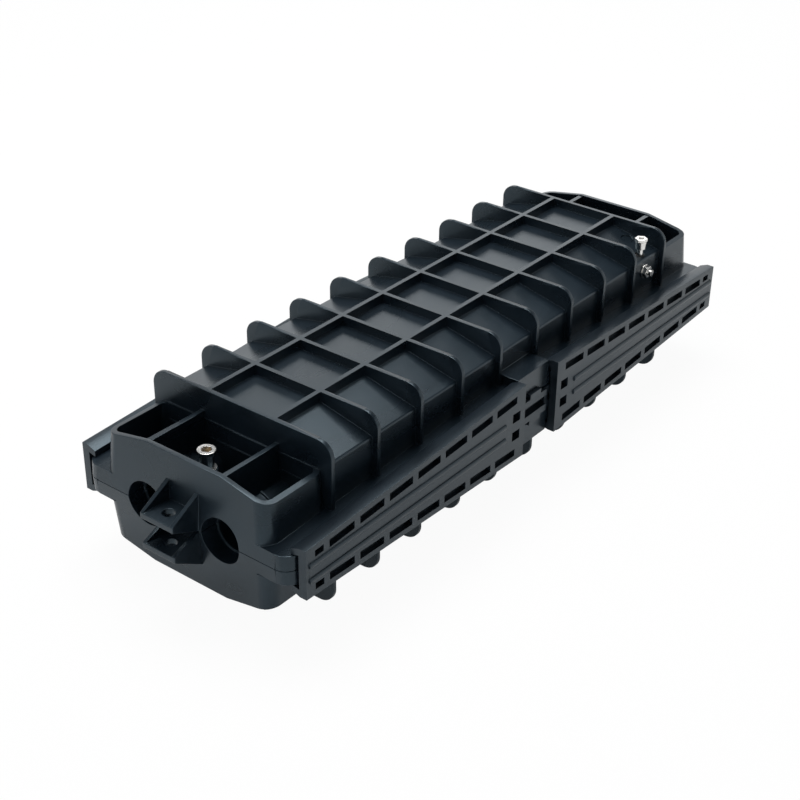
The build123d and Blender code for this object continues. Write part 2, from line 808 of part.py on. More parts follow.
# Cable clamps, strength-member posts and their plates at each end
for end, end_name in ((-1, "near"), (1, "far")):
    clamp_x = end * (bracket_half_length + tongue_length / 2)
    clamp_outer = hose_clamp_radius + hose_clamp_band
    with BuildPart() as hose_clamps:
        with Locations([along_x(clamp_x, side * port_offset, 0) for side in (-1, 1)]):
            Cylinder(clamp_outer, hose_clamp_width)
        with Locations([along_y(clamp_x, side * port_offset, clamp_outer) for side in (-1, 1)]):
            Cylinder(hose_screw_radius, hose_screw_length)
        with Locations([along_x(clamp_x, side * port_offset, 0) for side in (-1, 1)]):
            Cylinder(hose_clamp_radius, 2 * hose_clamp_width, mode=Mode.SUBTRACT)
    hose_clamps.part.label = f"hose_clamps_{end_name}"
    export_step(hose_clamps.part, f"parts/hose_clamps_{end_name}.step")

    with BuildPart() as strength_post:
        with Locations(at(end * strength_post_x, 0, bracket_top)):
            Box(strength_post_size, strength_post_size, strength_post_top - bracket_top, align=standing)
        with Locations(at(end * strength_post_x, 0, strength_post_top)):
            Cylinder(strength_screw_radius + pin_clearance, 2 * strength_screw_length, mode=Mode.SUBTRACT)
    strength_post.part.label = f"strength_post_{end_name}"
    export_step(strength_post.part, f"parts/strength_post_{end_name}.step")

    with BuildPart() as strength_plate:
        with BuildSketch(level(strength_post_top)):
            with Locations((end * strength_post_x, 0)):
                Rectangle(strength_post_size, strength_plate_length)
                Circle(strength_screw_radius + pin_clearance, mode=Mode.SUBTRACT)
        extrude(amount=strength_plate_thickness)
    strength_plate.part.label = f"strength_plate_{end_name}"
    export_step(strength_plate.part, f"parts/strength_plate_{end_name}.step")

with BuildPart() as strength_screws:
    for end in (-1, 1):
        with Locations(at(end * strength_post_x, 0, strength_post_top + strength_plate_thickness)):
            Cylinder(strength_screw_head_radius, strength_screw_head_height, align=standing)
            Cylinder(strength_screw_radius, strength_screw_length, align=hanging)
strength_screws.part.label = "strength_screws"
export_step(strength_screws.part, "parts/strength_screws.step")

# Splice trays, each with its splice holder and the pin that it tilts on
for index in range(tray_count):
    tray_low = tray_base + index * tray_pitch
    dish_low = tray_low + tray_floor
    pin_z = tray_low + hinge_barrel_radius
    with BuildPart() as splice_tray:
        with BuildSketch(level(tray_low)):
            with Locations((tray_middle, 0)):
                RectangleRounded(tray_length, 2 * tray_half_width, tray_corner_radius)
        extrude(amount=tray_height)
        with BuildSketch(level(dish_low)):
            with Locations((tray_middle, 0)):
                RectangleRounded(tray_length - 2 * tray_wall, 2 * (tray_half_width - tray_wall),
                                 tray_corner_radius - tray_wall)
        extrude(amount=tray_height, mode=Mode.SUBTRACT)
        guide_places = [(tray_middle + end * tray_guide_offset, 0) for end in (-1, 1)]
        with BuildSketch(level(dish_low)):
            with Locations(guide_places):
                Circle(tray_guide_radius)
            with Locations(guide_places):
                Circle(tray_guide_radius - tray_wall, mode=Mode.SUBTRACT)
        extrude(amount=tray_guide_height)
        with Locations([at(tray_near_end, side * tray_entry_offset, dish_low) for side in (-1, 1)]):
            Box(4 * tray_wall, tray_entry_width, tray_height, align=standing, mode=Mode.SUBTRACT)
        with Locations(along_y(hinge_x, 0, pin_z)):
            Cylinder(hinge_barrel_radius, hinge_barrel_length)
        with Locations(at(tray_far_end - tray_wall, 0, tray_low)):
            Box(hinge_x - tray_far_end + tray_wall, hinge_barrel_length, hinge_barrel_radius,
                align=(Align.MIN, Align.CENTER, Align.MIN))
        with Locations(along_y(hinge_x, 0, pin_z)):
            Cylinder(hinge_pin_radius + pin_clearance, 2 * hinge_barrel_length, mode=Mode.SUBTRACT)
    splice_tray.part.label = f"splice_tray_{index + 1}"
    export_step(splice_tray.part, f"parts/splice_tray_{index + 1}.step")

    with BuildPart() as splice_holder:
        fin_pitch = (holder_width - holder_fin_thickness) / (holder_fin_count - 1)
        with Locations(at(tray_middle, 0, dish_low)):
            Box(holder_length, holder_width, holder_base, align=standing)
        with BuildSketch(level(dish_low + holder_base)):
            with Locations((tray_middle, 0)):
                with GridLocations(0, fin_pitch, 1, holder_fin_count):
                    Rectangle(holder_length, holder_fin_thickness)
        extrude(amount=holder_fin_height)
    splice_holder.part.label = f"splice_holder_{index + 1}"
    export_step(splice_holder.part, f"parts/splice_holder_{index + 1}.step")

    with BuildPart() as hinge_pin:
        with Locations(along_y(hinge_x, 0, pin_z)):
            Cylinder(hinge_pin_radius, 2 * hinge_ear_y + hinge_ear_thickness)
    hinge_pin.part.label = f"hinge_pin_{index + 1}"
    export_step(hinge_pin.part, f"parts/hinge_pin_{index + 1}.step")

# Hinge bracket: two ears on the steel bracket that carry every tray's pin
hinge_top = tray_base + (tray_count - 1) * tray_pitch + 2 * hinge_barrel_radius
with BuildPart() as hinge_bracket:
    ear_height = hinge_top - bracket_top
    with Locations([at(hinge_x, side * hinge_ear_y, bracket_top) for side in (-1, 1)]):
        Box(2 * hinge_barrel_radius, hinge_ear_thickness, ear_height, align=standing)
    with Locations(at(hinge_x + hinge_barrel_radius + hinge_gap, 0, bracket_top)):
        Box(hinge_back_thickness, 2 * hinge_ear_y + hinge_ear_thickness, ear_height,
            align=(Align.MIN, Align.CENTER, Align.MIN))
    with Locations([at(hinge_x, side * hinge_ear_y, bracket_top) for side in (-1, 1)]):
        Box(hinge_barrel_radius + hinge_gap + hinge_back_thickness, hinge_ear_thickness, ear_height,
            align=(Align.MIN, Align.CENTER, Align.MIN))
    pin_levels = [tray_base + index * tray_pitch + hinge_barrel_radius for index in range(tray_count)]
    with Locations([along_y(hinge_x, 0, z) for z in pin_levels]):
        Cylinder(hinge_pin_radius + pin_clearance, 4 * hinge_ear_y, mode=Mode.SUBTRACT)
hinge_bracket.part.label = "hinge_bracket"
export_step(hinge_bracket.part, "parts/hinge_bracket.step")

# Clear cover on the top tray, and the strap that binds the stack to the bracket
with BuildPart() as tray_cover:
    with BuildSketch(level(stack_top)):
        with Locations((tray_middle, 0)):
            RectangleRounded(tray_length, 2 * tray_half_width, tray_corner_radius)
    extrude(amount=cover_thickness)
tray_cover.part.label = "tray_cover"
export_step(tray_cover.part, "parts/tray_cover.step")

with BuildPart() as tray_strap:
    strap_height = stack_top + cover_thickness - bracket_bottom + 2 * strap_clearance
    strap_inner_width = 2 * (tray_half_width + strap_clearance)
    with BuildSketch(section_plane(tray_middle - strap_width / 2)):
        with Locations((0, bracket_bottom - strap_clearance + strap_height / 2)):
            RectangleRounded(strap_inner_width + 2 * strap_thickness, strap_height + 2 * strap_thickness,
                             strap_thickness)
            Rectangle(strap_inner_width, strap_height, mode=Mode.SUBTRACT)
    extrude(amount=strap_width)
tray_strap.part.label = "tray_strap"
export_step(tray_strap.part, "parts/tray_strap.step")
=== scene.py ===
"""Dresses the packed fibre splice closure: rounded moulding edges, satin black plastic,
nickel fittings, the trays inside, and the studio that it stands in."""
import json
import math

import bmesh
import bpy
from mathutils import Matrix, Vector

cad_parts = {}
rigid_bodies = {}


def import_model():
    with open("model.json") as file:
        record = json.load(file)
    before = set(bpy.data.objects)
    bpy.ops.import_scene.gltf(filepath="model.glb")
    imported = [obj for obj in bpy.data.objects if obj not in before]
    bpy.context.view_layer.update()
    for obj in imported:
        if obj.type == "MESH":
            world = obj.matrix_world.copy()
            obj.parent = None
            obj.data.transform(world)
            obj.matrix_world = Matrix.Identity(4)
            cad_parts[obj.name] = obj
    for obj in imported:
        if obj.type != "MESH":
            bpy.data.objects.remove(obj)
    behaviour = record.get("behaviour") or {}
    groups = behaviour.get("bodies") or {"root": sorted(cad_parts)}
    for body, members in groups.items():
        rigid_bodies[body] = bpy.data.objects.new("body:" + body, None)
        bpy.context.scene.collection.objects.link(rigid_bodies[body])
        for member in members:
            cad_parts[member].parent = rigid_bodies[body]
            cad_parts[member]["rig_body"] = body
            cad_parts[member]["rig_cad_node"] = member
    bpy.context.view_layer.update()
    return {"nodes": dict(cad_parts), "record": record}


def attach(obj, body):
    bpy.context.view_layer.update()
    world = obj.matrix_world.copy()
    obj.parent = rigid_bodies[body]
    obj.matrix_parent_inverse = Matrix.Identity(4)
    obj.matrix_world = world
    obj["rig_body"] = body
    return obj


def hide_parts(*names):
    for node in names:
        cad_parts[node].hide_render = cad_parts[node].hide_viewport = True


bl_info = {
    "name": "Fibre Splice Closure Dressing",
    "version": (1, 0, 0),
    "blender": (4, 5, 0),
    "location": "3D View > Sidebar > Closure",
    "description": "Models the finish of a ribbed fibre splice closure around its fixed frame",
    "category": "Object",
}

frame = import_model()
MM = 0.001

# Places on the fixed pieces, in millimetres: x and y from the middle planes, z from the
# parting plane, which lies at PARTING_HEIGHT. CLOSE is how near a vertex lies to its place,
# and IN_PLANE how near to a plane.
CLOSE = 0.05
IN_PLANE = 0.01
PARTING_HEIGHT = 47.5
RIB_HALF_WIDTH = 62.2
RIB_ARC_START = (53.1, 38.4)
PORT_OFFSET = 24.1
PORT_RADIUS = 11.6
BARREL_RADII = (14.2, 15.2)
PORT_INNER_END = 147.0
END_WALL = 199.0
END_WALL_BACK = 197.0
END_ARC_START = 190.9
END_SHOULDER = 30.1
SLIVER_BOX = ((190.9, 200.0), (50.0, 54.3), (30.0, 31.3))
LUG_START = 200.0
LUG_CHEEK = (8.6, 11.2)
LUG_HALF_WIDTH = 12.0
LUG_TOP = 22.0
RAIL_END = 196.2
RAIL_LENGTH = 180.6
RAIL_END_HALF_HEIGHT = 14.1
RAIL_RISE = 8.3
LIP_EDGE = 66.4
LIP_FALL = 3.1
RAIL_WEB = 72.0
RAIL_FACE = 75.59
WINDOW_BOTTOM = 7.2
END_WINDOW_BOTTOM = 6.4
END_WINDOW_START = 183.0
RIDGE_START = 33.3
RIDGE_HEIGHT = 4.1
RIDGE_REACH = 1.01
VALVE_PLACE = (141.0, -52.0)
VALVE_CAP_BOTTOM = 90.0
VALVE_STEM_FOOT = 84.0
VALVE_STEM_FLARE = 6.0

# How the copies differ from the fixed pieces, in millimetres or as a factor
RIB_TRIM = 2.2
END_DRAFT = 2.4
PORT_SHIFT = 1.1
PORT_GROWTH = 12.4 / PORT_RADIUS
LUG_TRIM = 1.0
LIP_LIFT = 1.1
WINDOW_GROWTH = 0.5
END_WINDOW_GROWTH = 0.4
RIDGE_SHIFT = 0.2
RIDGE_GROWTH = 1.65
VALVE_CAP_GROWTH = 0.84
VALVE_STEM_GROWTH = 0.35
GROOVE_START = 190.0
GROOVE_HALF_HEIGHT = 0.35
GROOVE_DEPTH = 0.9

# The z part of a unit normal: below the first a face is a wall, above the second it is flat
WALL_NORMAL = 0.3
FLAT_NORMAL = 0.99

# Rounding: the share of a narrow face that it may take, and the turns between faces, in degrees
ROUNDING_SHARE = 0.45
ROUNDING_STEPS = 2
FITTING_EDGE_RADIUS = 0.2
WELD_DISTANCE = 0.002
FLAT_TURN = 0.4
CREASE_TURN = 10.0
SHARP_TURN = 32.0
SMOOTH_TURN = 40.0

# Finishes: how far the roughness varies, the darker and the lighter shade of a colour, where
# the flow marks begin and end in their noise, and how they and the grain are drawn
PLASTIC_SPREAD = 0.10
METAL_SPREAD = 0.12
PLASTIC_SHADES = (0.75, 1.35)
METAL_SHADES = (0.82, 1.08)
FLOW_RANGE = (0.3, 0.7)
FLOW_STRETCH = (0.35, 1.0, 1.6)
GRAIN_STRENGTH = 0.35
CLEAR_SHEET = {"Transmission Weight": 0.92, "IOR": 1.49}
CLEAR_ROUGHNESS = (0.06, 0.18)
CLEAR_HAZE_SCALE = 60.0

# The studio, in metres and watts, with the sensor's width in millimetres. BACKDROP_GLOW is how
# much of the floor and the round wall glows white, and FLOOR_MIRRORED how much of the floor
# does in mirrors.
FLOOR_RADIUS = 6.0
BACKDROP_RADIUS = 4.0
BACKDROP_GLOW = 0.95
FLOOR_MIRRORED = 0.4
ROUND_SIDES = 96
SENSOR_WIDTH = 36.0
NEAREST_SEEN = 0.01
STUDIO_WHITE = {
    "Base Color": (0.86, 0.86, 0.86, 1.0), "Roughness": 0.9, "Specular IOR Level": 0.0}
ROOM_COLOUR = (0.93, 0.97, 1.0, 1.0)
LAMP_AIM = (0.0, 0.0, 0.05)
LAMPS = (
    # name, place, width, height, power
    ("overhead_box", (0.25, 0.35, 1.5), 1.2, 0.9, 25.0),
    ("left_box", (-1.5, 0.3, 0.8), 0.9, 0.9, 4.0),
    ("back_box", (1.25, 1.0, 0.74), 1.1, 0.6, 2.2),
)

SHELLS = ("upper_shell", "lower_shell")
RAILS = ("rail_near_front", "rail_near_back", "rail_far_front", "rail_far_back")
CLIPS = ("lock_clip_front", "lock_clip_back")


class ClosureMouldings(bpy.types.PropertyGroup):
    """How the black mouldings look."""

    edge_radius: bpy.props.FloatProperty(
        name="Shell edge radius", description="Rounding of the shells' edges", default=0.0004,
        min=0.0, subtype="DISTANCE", unit="LENGTH")
    rail_edge_radius: bpy.props.FloatProperty(
        name="Rail edge radius", description="Rounding of the rails' edges", default=0.00018,
        min=0.0, subtype="DISTANCE", unit="LENGTH")
    shell_colour: bpy.props.FloatVectorProperty(
        name="Shell colour", description="Black of the two shells", subtype="COLOR",
        default=(0.0062, 0.0105, 0.0155), min=0.0, max=1.0)
    rail_colour: bpy.props.FloatVectorProperty(
        name="Rail colour", description="Black of the rails and clips", subtype="COLOR",
        default=(0.0068, 0.0100, 0.0140), min=0.0, max=1.0)
    roughness: bpy.props.FloatProperty(
        name="Roughness", description="Roughness of the black plastic", default=0.29,
        min=0.0, max=1.0)
    rail_dullness: bpy.props.FloatProperty(
        name="Rail dullness", description="How much rougher the rails are than the shells",
        default=0.06, min=0.0, max=0.5)
    sheen_colour: bpy.props.FloatVectorProperty(
        name="Sheen colour", description="Tint of what the plastic mirrors", subtype="COLOR",
        default=(0.66, 0.87, 1.0), min=0.0, max=1.0)
    grain: bpy.props.FloatProperty(
        name="Mould grain", description="Depth of the fine grain left by the mould",
        default=0.00003, min=0.0, subtype="DISTANCE", unit="LENGTH")


class ClosureMetals(bpy.types.PropertyGroup):
    """Colours of the metal pieces and of those inside."""

    nickel: bpy.props.FloatVectorProperty(
        name="Nickel", description="Colour of the plated fittings", subtype="COLOR",
        default=(0.71, 0.70, 0.68), min=0.0, max=1.0)
    brass: bpy.props.FloatVectorProperty(
        name="Brass", description="Colour of the bolt ends inside the nuts", subtype="COLOR",
        default=(0.58, 0.40, 0.20), min=0.0, max=1.0)
    steel: bpy.props.FloatVectorProperty(
        name="Sheet steel", description="Colour of the inner bracket and clamps", subtype="COLOR",
        default=(0.60, 0.61, 0.62), min=0.0, max=1.0)
    tray: bpy.props.FloatVectorProperty(
        name="Tray plastic", description="Colour of the splice trays", subtype="COLOR",
        default=(0.60, 0.62, 0.62), min=0.0, max=1.0)
    rubber: bpy.props.FloatVectorProperty(
        name="Seal rubber", description="Colour of the seals", subtype="COLOR",
        default=(0.012, 0.012, 0.012), min=0.0, max=1.0)
    strap: bpy.props.FloatVectorProperty(
        name="Strap", description="Colour of the strap round the trays", subtype="COLOR",
        default=(0.012, 0.012, 0.014), min=0.0, max=1.0)


class ClosureStudio(bpy.types.PropertyGroup):
    """The photograph's viewpoint and the light."""

    camera_place: bpy.props.FloatVectorProperty(
        name="Camera place", description="Where the camera stands", subtype="XYZ", unit="LENGTH",
        default=(-0.62714, -0.46221, 0.48348))
    azimuth: bpy.props.FloatProperty(
        name="Azimuth", description="Compass angle of the view", default=math.radians(-52.3173),
        subtype="ANGLE", unit="ROTATION")
    elevation: bpy.props.FloatProperty(
        name="Elevation", description="How far the camera looks down",
        default=math.radians(30.4957), subtype="ANGLE", unit="ROTATION")
    roll: bpy.props.FloatProperty(
        name="Roll", description="Turn of the picture about the view",
        default=math.radians(0.7488), subtype="ANGLE", unit="ROTATION")
    focal_length: bpy.props.FloatProperty(
        name="Focal length", description="Lens on a 36 mm wide sensor, in millimetres",
        default=69.652)
    room_light: bpy.props.FloatProperty(
        name="Room light", description="Strength of the light from all sides", default=0.27,
        min=0.0)
    backdrop_height: bpy.props.FloatProperty(
        name="Backdrop height", description="Height of the round white wall", default=2.55,
        min=0.1, subtype="DISTANCE", unit="LENGTH")


def make_active(piece):
    """Selects one piece alone and makes it active."""
    bpy.ops.object.select_all(action="DESELECT")
    piece.select_set(True)
    bpy.context.view_layer.objects.active = piece


def dress(piece, body, material):
    """Gives a new piece its material and its body."""
    piece.data.materials.clear()
    piece.data.materials.append(material)
    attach(piece, body)


def paint(node, material):
    """Gives a fixed node a better material, with its mesh as it is."""
    for slot in frame["nodes"][node].material_slots:
        slot.material = material


def body_of(node):
    """The body that a node belongs to."""
    for body, members in frame["record"]["behaviour"]["bodies"].items():
        if node in members:
            return body
    raise RuntimeError(f"no body holds {node}")


def slot_of(node):
    """The material slot that the record gives a node."""
    for part in frame["record"]["subparts"]:
        if part["node"] == node:
            return part["material_slot"]
    raise RuntimeError(f"no slot for {node}")


def from_middle(vertex):
    """A vertex's distances from the middle planes and the parting plane, in millimetres."""
    return abs(vertex.co.x) / MM, abs(vertex.co.y) / MM, abs(vertex.co.z / MM - PARTING_HEIGHT)


def put_back(vertex, x, y, z):
    """Moves a vertex to new distances on its own side of the three planes."""
    vertex.co.x = math.copysign(x * MM, vertex.co.x)
    vertex.co.y = math.copysign(y * MM, vertex.co.y)
    vertex.co.z = math.copysign(z * MM, vertex.co.z - PARTING_HEIGHT * MM) + PARTING_HEIGHT * MM


def trim_shell(mesh):
    """Trims a shell: narrower ribs, drafted end walls, wider ports and lower lug cheeks."""
    for vertex in mesh.vertices:
        x, y, z = from_middle(vertex)
        on_rib_corner = y > RIB_ARC_START[0] and z > RIB_ARC_START[1]
        if on_rib_corner or abs(y - RIB_HALF_WIDTH) < 2 * CLOSE:
            y -= RIB_TRIM
        from_port = math.hypot(y - PORT_OFFSET, z)
        in_bore = from_port < PORT_RADIUS + CLOSE
        to_barrel = min(abs(from_port - radius) for radius in BARREL_RADII)
        on_barrel = x < END_WALL_BACK and to_barrel < CLOSE + IN_PLANE
        if x > PORT_INNER_END and (in_bore or on_barrel):
            y = PORT_OFFSET + PORT_SHIFT + (y - PORT_OFFSET) * PORT_GROWTH
            z = z * PORT_GROWTH
        before_lugs = x < END_WALL + 2 * CLOSE
        on_cheek = x > END_WALL_BACK and LUG_CHEEK[0] < y < LUG_CHEEK[1]
        if before_lugs and on_cheek and abs(z - LUG_TOP) < CLOSE:
            z -= LUG_TRIM
        if before_lugs and x > END_ARC_START:
            along = (x - END_ARC_START) / (END_WALL - END_ARC_START)
            x += END_DRAFT * (1.0 - z / END_SHOULDER) * along
        put_back(vertex, x, y, z)


def trim_rail(mesh):
    """Trims a rail: flatter lips, taller windows and broader ridges."""
    for vertex in mesh.vertices:
        x, y, z = from_middle(vertex)
        half_height = RAIL_END_HALF_HEIGHT + RAIL_RISE * (RAIL_END - x) / RAIL_LENGTH
        below_top = half_height - z
        if y < LIP_EDGE and abs(below_top - LIP_FALL) < CLOSE:
            z += LIP_LIFT
        if y > RAIL_WEB and abs(below_top - WINDOW_BOTTOM) < CLOSE:
            z -= WINDOW_GROWTH
        if y > RAIL_WEB and abs(below_top - END_WINDOW_BOTTOM) < CLOSE and x > END_WINDOW_START:
            z -= END_WINDOW_GROWTH
        if y > RAIL_FACE and x > RIDGE_START and abs(z - RIDGE_HEIGHT) < RIDGE_REACH:
            z = RIDGE_HEIGHT + RIDGE_SHIFT + RIDGE_GROWTH * (z - RIDGE_HEIGHT)
        put_back(vertex, x, y, z)


def trim_valve(mesh):
    """Makes the valve's cap smaller and lets its stem widen towards the cap."""
    is_cap = min(vertex.co.z for vertex in mesh.vertices) > VALVE_CAP_BOTTOM * MM
    for vertex in mesh.vertices:
        if is_cap:
            growth = VALVE_CAP_GROWTH
        else:
            rise = (vertex.co.z / MM - VALVE_STEM_FOOT) / VALVE_STEM_FLARE
            growth = 1.0 + VALVE_STEM_GROWTH * min(1.0, max(0.0, rise))
        vertex.co.x = (VALVE_PLACE[0] + growth * (vertex.co.x / MM - VALVE_PLACE[0])) * MM
        vertex.co.y = (VALVE_PLACE[1] + growth * (vertex.co.y / MM - VALVE_PLACE[1])) * MM


def in_sliver(vertex):
    """Tells if a vertex lies in the thin wedge of wall over an end box's rounded corner."""
    return all(low < place < high for (low, high), place in zip(SLIVER_BOX, from_middle(vertex)))


def join_draft_lines(form):
    """Joins the faces above and below the faint crease at the end boxes' shoulders."""
    creases = []
    for edge in form.edges:
        off_shoulder = max(abs(from_middle(corner)[2] - END_SHOULDER) for corner in edge.verts)
        if off_shoulder < IN_PLANE and edge.calc_face_angle(math.pi) < math.radians(CREASE_TURN):
            creases.append(edge)
    bmesh.ops.dissolve_edges(form, edges=creases, use_verts=True)


def in_parting_plane(vertex):
    """Tells if a vertex lies in the parting plane."""
    return from_middle(vertex)[2] <= IN_PLANE


def is_end_outline(edge):
    """Tells if an edge is where an end box's outer wall meets the parting plane."""
    if len(edge.link_faces) != 2 or not all(in_parting_plane(corner) for corner in edge.verts):
        return False
    wall, flat = sorted(edge.link_faces, key=lambda face: abs(face.normal.z))
    middle = (edge.verts[0].co + edge.verts[1].co) / 2.0
    square = abs(wall.normal.z) < WALL_NORMAL and abs(flat.normal.z) > FLAT_NORMAL
    at_end = abs(middle.x) > GROOVE_START * MM
    outward = wall.normal.x * middle.x + wall.normal.y * middle.y > 0.0
    on_lug = abs(middle.y) < LUG_HALF_WIDTH * MM
    return square and at_end and outward and not on_lug


def groove_parting_line(form):
    """Sinks the parting plane's edge round the ends, so that closed shells show a dark line."""
    outline = [edge for edge in form.edges if is_end_outline(edge)]
    made = bmesh.ops.bevel(
        form, geom=outline, offset=GROOVE_HALF_HEIGHT * MM, offset_type="OFFSET", segments=1,
        affect="EDGES", clamp_overlap=True)
    inward = {}
    for face in made["faces"]:
        outward = Vector((face.normal.x, face.normal.y, 0.0))
        for vertex in face.verts:
            if in_parting_plane(vertex):
                inward[vertex] = inward.get(vertex, Vector()) - outward
    for vertex, way in inward.items():
        vertex.co += way.normalized() * GROOVE_DEPTH * MM


def free_widths(edge, sharp):
    """The widths of the faces beside an edge, measured along the flat edges at its ends."""
    along = (edge.verts[1].co - edge.verts[0].co).normalized()
    for corner in edge.verts:
        for side in corner.link_edges:
            if side not in sharp:
                yield (side.other_vert(corner).co - corner.co).cross(along).length


def weigh_edges(mesh, radius):
    """Marks the sharp edges for rounding, less where the faces beside them are narrow."""
    form = bmesh.new()
    form.from_mesh(mesh)
    join_draft_lines(form)
    if max(from_middle(vertex)[0] for vertex in form.verts) > LUG_START:
        groove_parting_line(form)
    weights = form.edges.layers.float.new("bevel_weight_edge")
    turn = math.radians(SHARP_TURN)
    sharp = {edge for edge in form.edges if edge.calc_face_angle(0.0) > turn}
    for edge in sharp:
        if any(in_sliver(corner) for corner in edge.verts):
            edge[weights] = 0.0
            continue
        narrowest = min([radius / ROUNDING_SHARE, *free_widths(edge, sharp)])
        edge[weights] = ROUNDING_SHARE * narrowest / radius
    form.to_mesh(mesh)
    form.free()


def bare_copy(node):
    """A copy of a node's object and mesh, on its own and active."""
    source = frame["nodes"][node]
    copy = source.copy()
    copy.data = source.data.copy()
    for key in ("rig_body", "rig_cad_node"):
        if key in copy:
            del copy[key]
    copy.parent = None
    copy.name = f"{node}_rounded"
    copy.data.name = copy.name
    bpy.context.scene.collection.objects.link(copy)
    make_active(copy)
    return copy


def rounded_copy(node, radius, trim=None):
    """A copy of a node, trimmed, with its flat faces joined and its edges rounded."""
    copy = bare_copy(node)
    bpy.ops.object.mode_set(mode="EDIT")
    bpy.ops.mesh.select_all(action="SELECT")
    bpy.ops.mesh.customdata_custom_splitnormals_clear()
    bpy.ops.mesh.remove_doubles(threshold=WELD_DISTANCE * MM)
    if trim:
        bpy.ops.object.mode_set(mode="OBJECT")
        trim(copy.data)
        bpy.ops.object.mode_set(mode="EDIT")
    bpy.ops.mesh.tris_convert_to_quads(
        face_threshold=math.radians(FLAT_TURN), shape_threshold=math.pi)
    bpy.ops.object.mode_set(mode="OBJECT")
    weigh_edges(copy.data, radius)
    bevel = copy.modifiers.new("rounding", "BEVEL")
    bevel.limit_method = "WEIGHT"
    bevel.width = radius
    bevel.segments = ROUNDING_STEPS
    bevel.use_clamp_overlap = False
    bevel.harden_normals = False
    bpy.ops.object.modifier_apply(modifier=bevel.name)
    bpy.ops.object.shade_smooth_by_angle(angle=math.radians(SMOOTH_TURN))
    weighted = copy.modifiers.new("weighting", "WEIGHTED_NORMAL")
    weighted.keep_sharp = True
    bpy.ops.object.modifier_apply(modifier=weighted.name)
    return copy


def new_material(name):
    """A node material with its shader and output, ready to be wired."""
    material = bpy.data.materials.new(name)
    material.use_nodes = True
    return material, material.node_tree.nodes, material.node_tree.links


def set_inputs(node, values):
    """Sets a node's unwired inputs by their names."""
    for name, value in values.items():
        node.inputs[name].default_value = value


def add_noise(nodes, **values):
    """A noise texture with its inputs set."""
    noise = nodes.new("ShaderNodeTexNoise")
    set_inputs(noise, {name.capitalize(): value for name, value in values.items()})
    return noise


def add_tint(nodes, colour, shades):
    """A colour ramp from a darker to a lighter shade of a colour."""
    tint = nodes.new("ShaderNodeValToRGB")
    for element, factor in zip(tint.color_ramp.elements, shades):
        element.color = (*[min(1.0, factor * part) for part in colour], 1.0)
    return tint


def add_gloss(nodes, lowest, highest):
    """A map from a mask to a range of roughness."""
    gloss = nodes.new("ShaderNodeMapRange")
    set_inputs(gloss, {"To Min": lowest, "To Max": highest})
    return gloss


def moulding_grain_group():
    """Mould grain as a height, and faint flow marks as a mask."""
    name = "moulding_grain"
    if name in bpy.data.node_groups:
        return bpy.data.node_groups[name]
    group = bpy.data.node_groups.new(name, "ShaderNodeTree")
    for socket, way in (("Grain Scale", "INPUT"), ("Flow Scale", "INPUT"),
                        ("Height", "OUTPUT"), ("Flow", "OUTPUT")):
        group.interface.new_socket(socket, in_out=way, socket_type="NodeSocketFloat")
    nodes, links = group.nodes, group.links
    inputs = nodes.new("NodeGroupInput")
    outputs = nodes.new("NodeGroupOutput")
    place = nodes.new("ShaderNodeTexCoord")
    grain = add_noise(nodes, detail=3.0, roughness=0.6)
    stretch = nodes.new("ShaderNodeMapping")
    stretch.inputs["Scale"].default_value = FLOW_STRETCH
    flow = add_noise(nodes, detail=4.0, roughness=0.55, distortion=0.6)
    links.new(place.outputs["Object"], grain.inputs["Vector"])
    links.new(place.outputs["Object"], stretch.inputs["Vector"])
    links.new(stretch.outputs["Vector"], flow.inputs["Vector"])
    links.new(inputs.outputs["Grain Scale"], grain.inputs["Scale"])
    links.new(inputs.outputs["Flow Scale"], flow.inputs["Scale"])
    links.new(grain.outputs["Fac"], outputs.inputs["Height"])
    links.new(flow.outputs["Fac"], outputs.inputs["Flow"])
    return group


def grained_material(name, colour, roughness, depth, grain_scale=2400.0, flow_scale=26.0,
                     sheen=(1.0, 1.0, 1.0)):
    """Moulded plastic or rubber: flow marks in its colour and gloss, and a fine grain."""
    material, nodes, links = new_material(name)
    shader = nodes["Principled BSDF"]
    shader.inputs["Specular Tint"].default_value = (*sheen, 1.0)
    marks = nodes.new("ShaderNodeGroup")
    marks.node_tree = moulding_grain_group()
    set_inputs(marks, {"Grain Scale": grain_scale, "Flow Scale": flow_scale})
    tint = add_tint(nodes, colour, PLASTIC_SHADES)
    for element, position in zip(tint.color_ramp.elements, FLOW_RANGE):
        element.position = position
    gloss = add_gloss(nodes, roughness - PLASTIC_SPREAD / 2, roughness + PLASTIC_SPREAD / 2)
    set_inputs(gloss, {"From Min": FLOW_RANGE[0], "From Max": FLOW_RANGE[1]})
    bump = nodes.new("ShaderNodeBump")
    set_inputs(bump, {"Strength": GRAIN_STRENGTH, "Distance": depth})
    links.new(marks.outputs["Flow"], tint.inputs["Fac"])
    links.new(marks.outputs["Flow"], gloss.inputs["Value"])
    links.new(marks.outputs["Height"], bump.inputs["Height"])
    links.new(tint.outputs["Color"], shader.inputs["Base Color"])
    links.new(gloss.outputs["Result"], shader.inputs["Roughness"])
    links.new(bump.outputs["Normal"], shader.inputs["Normal"])
    return material


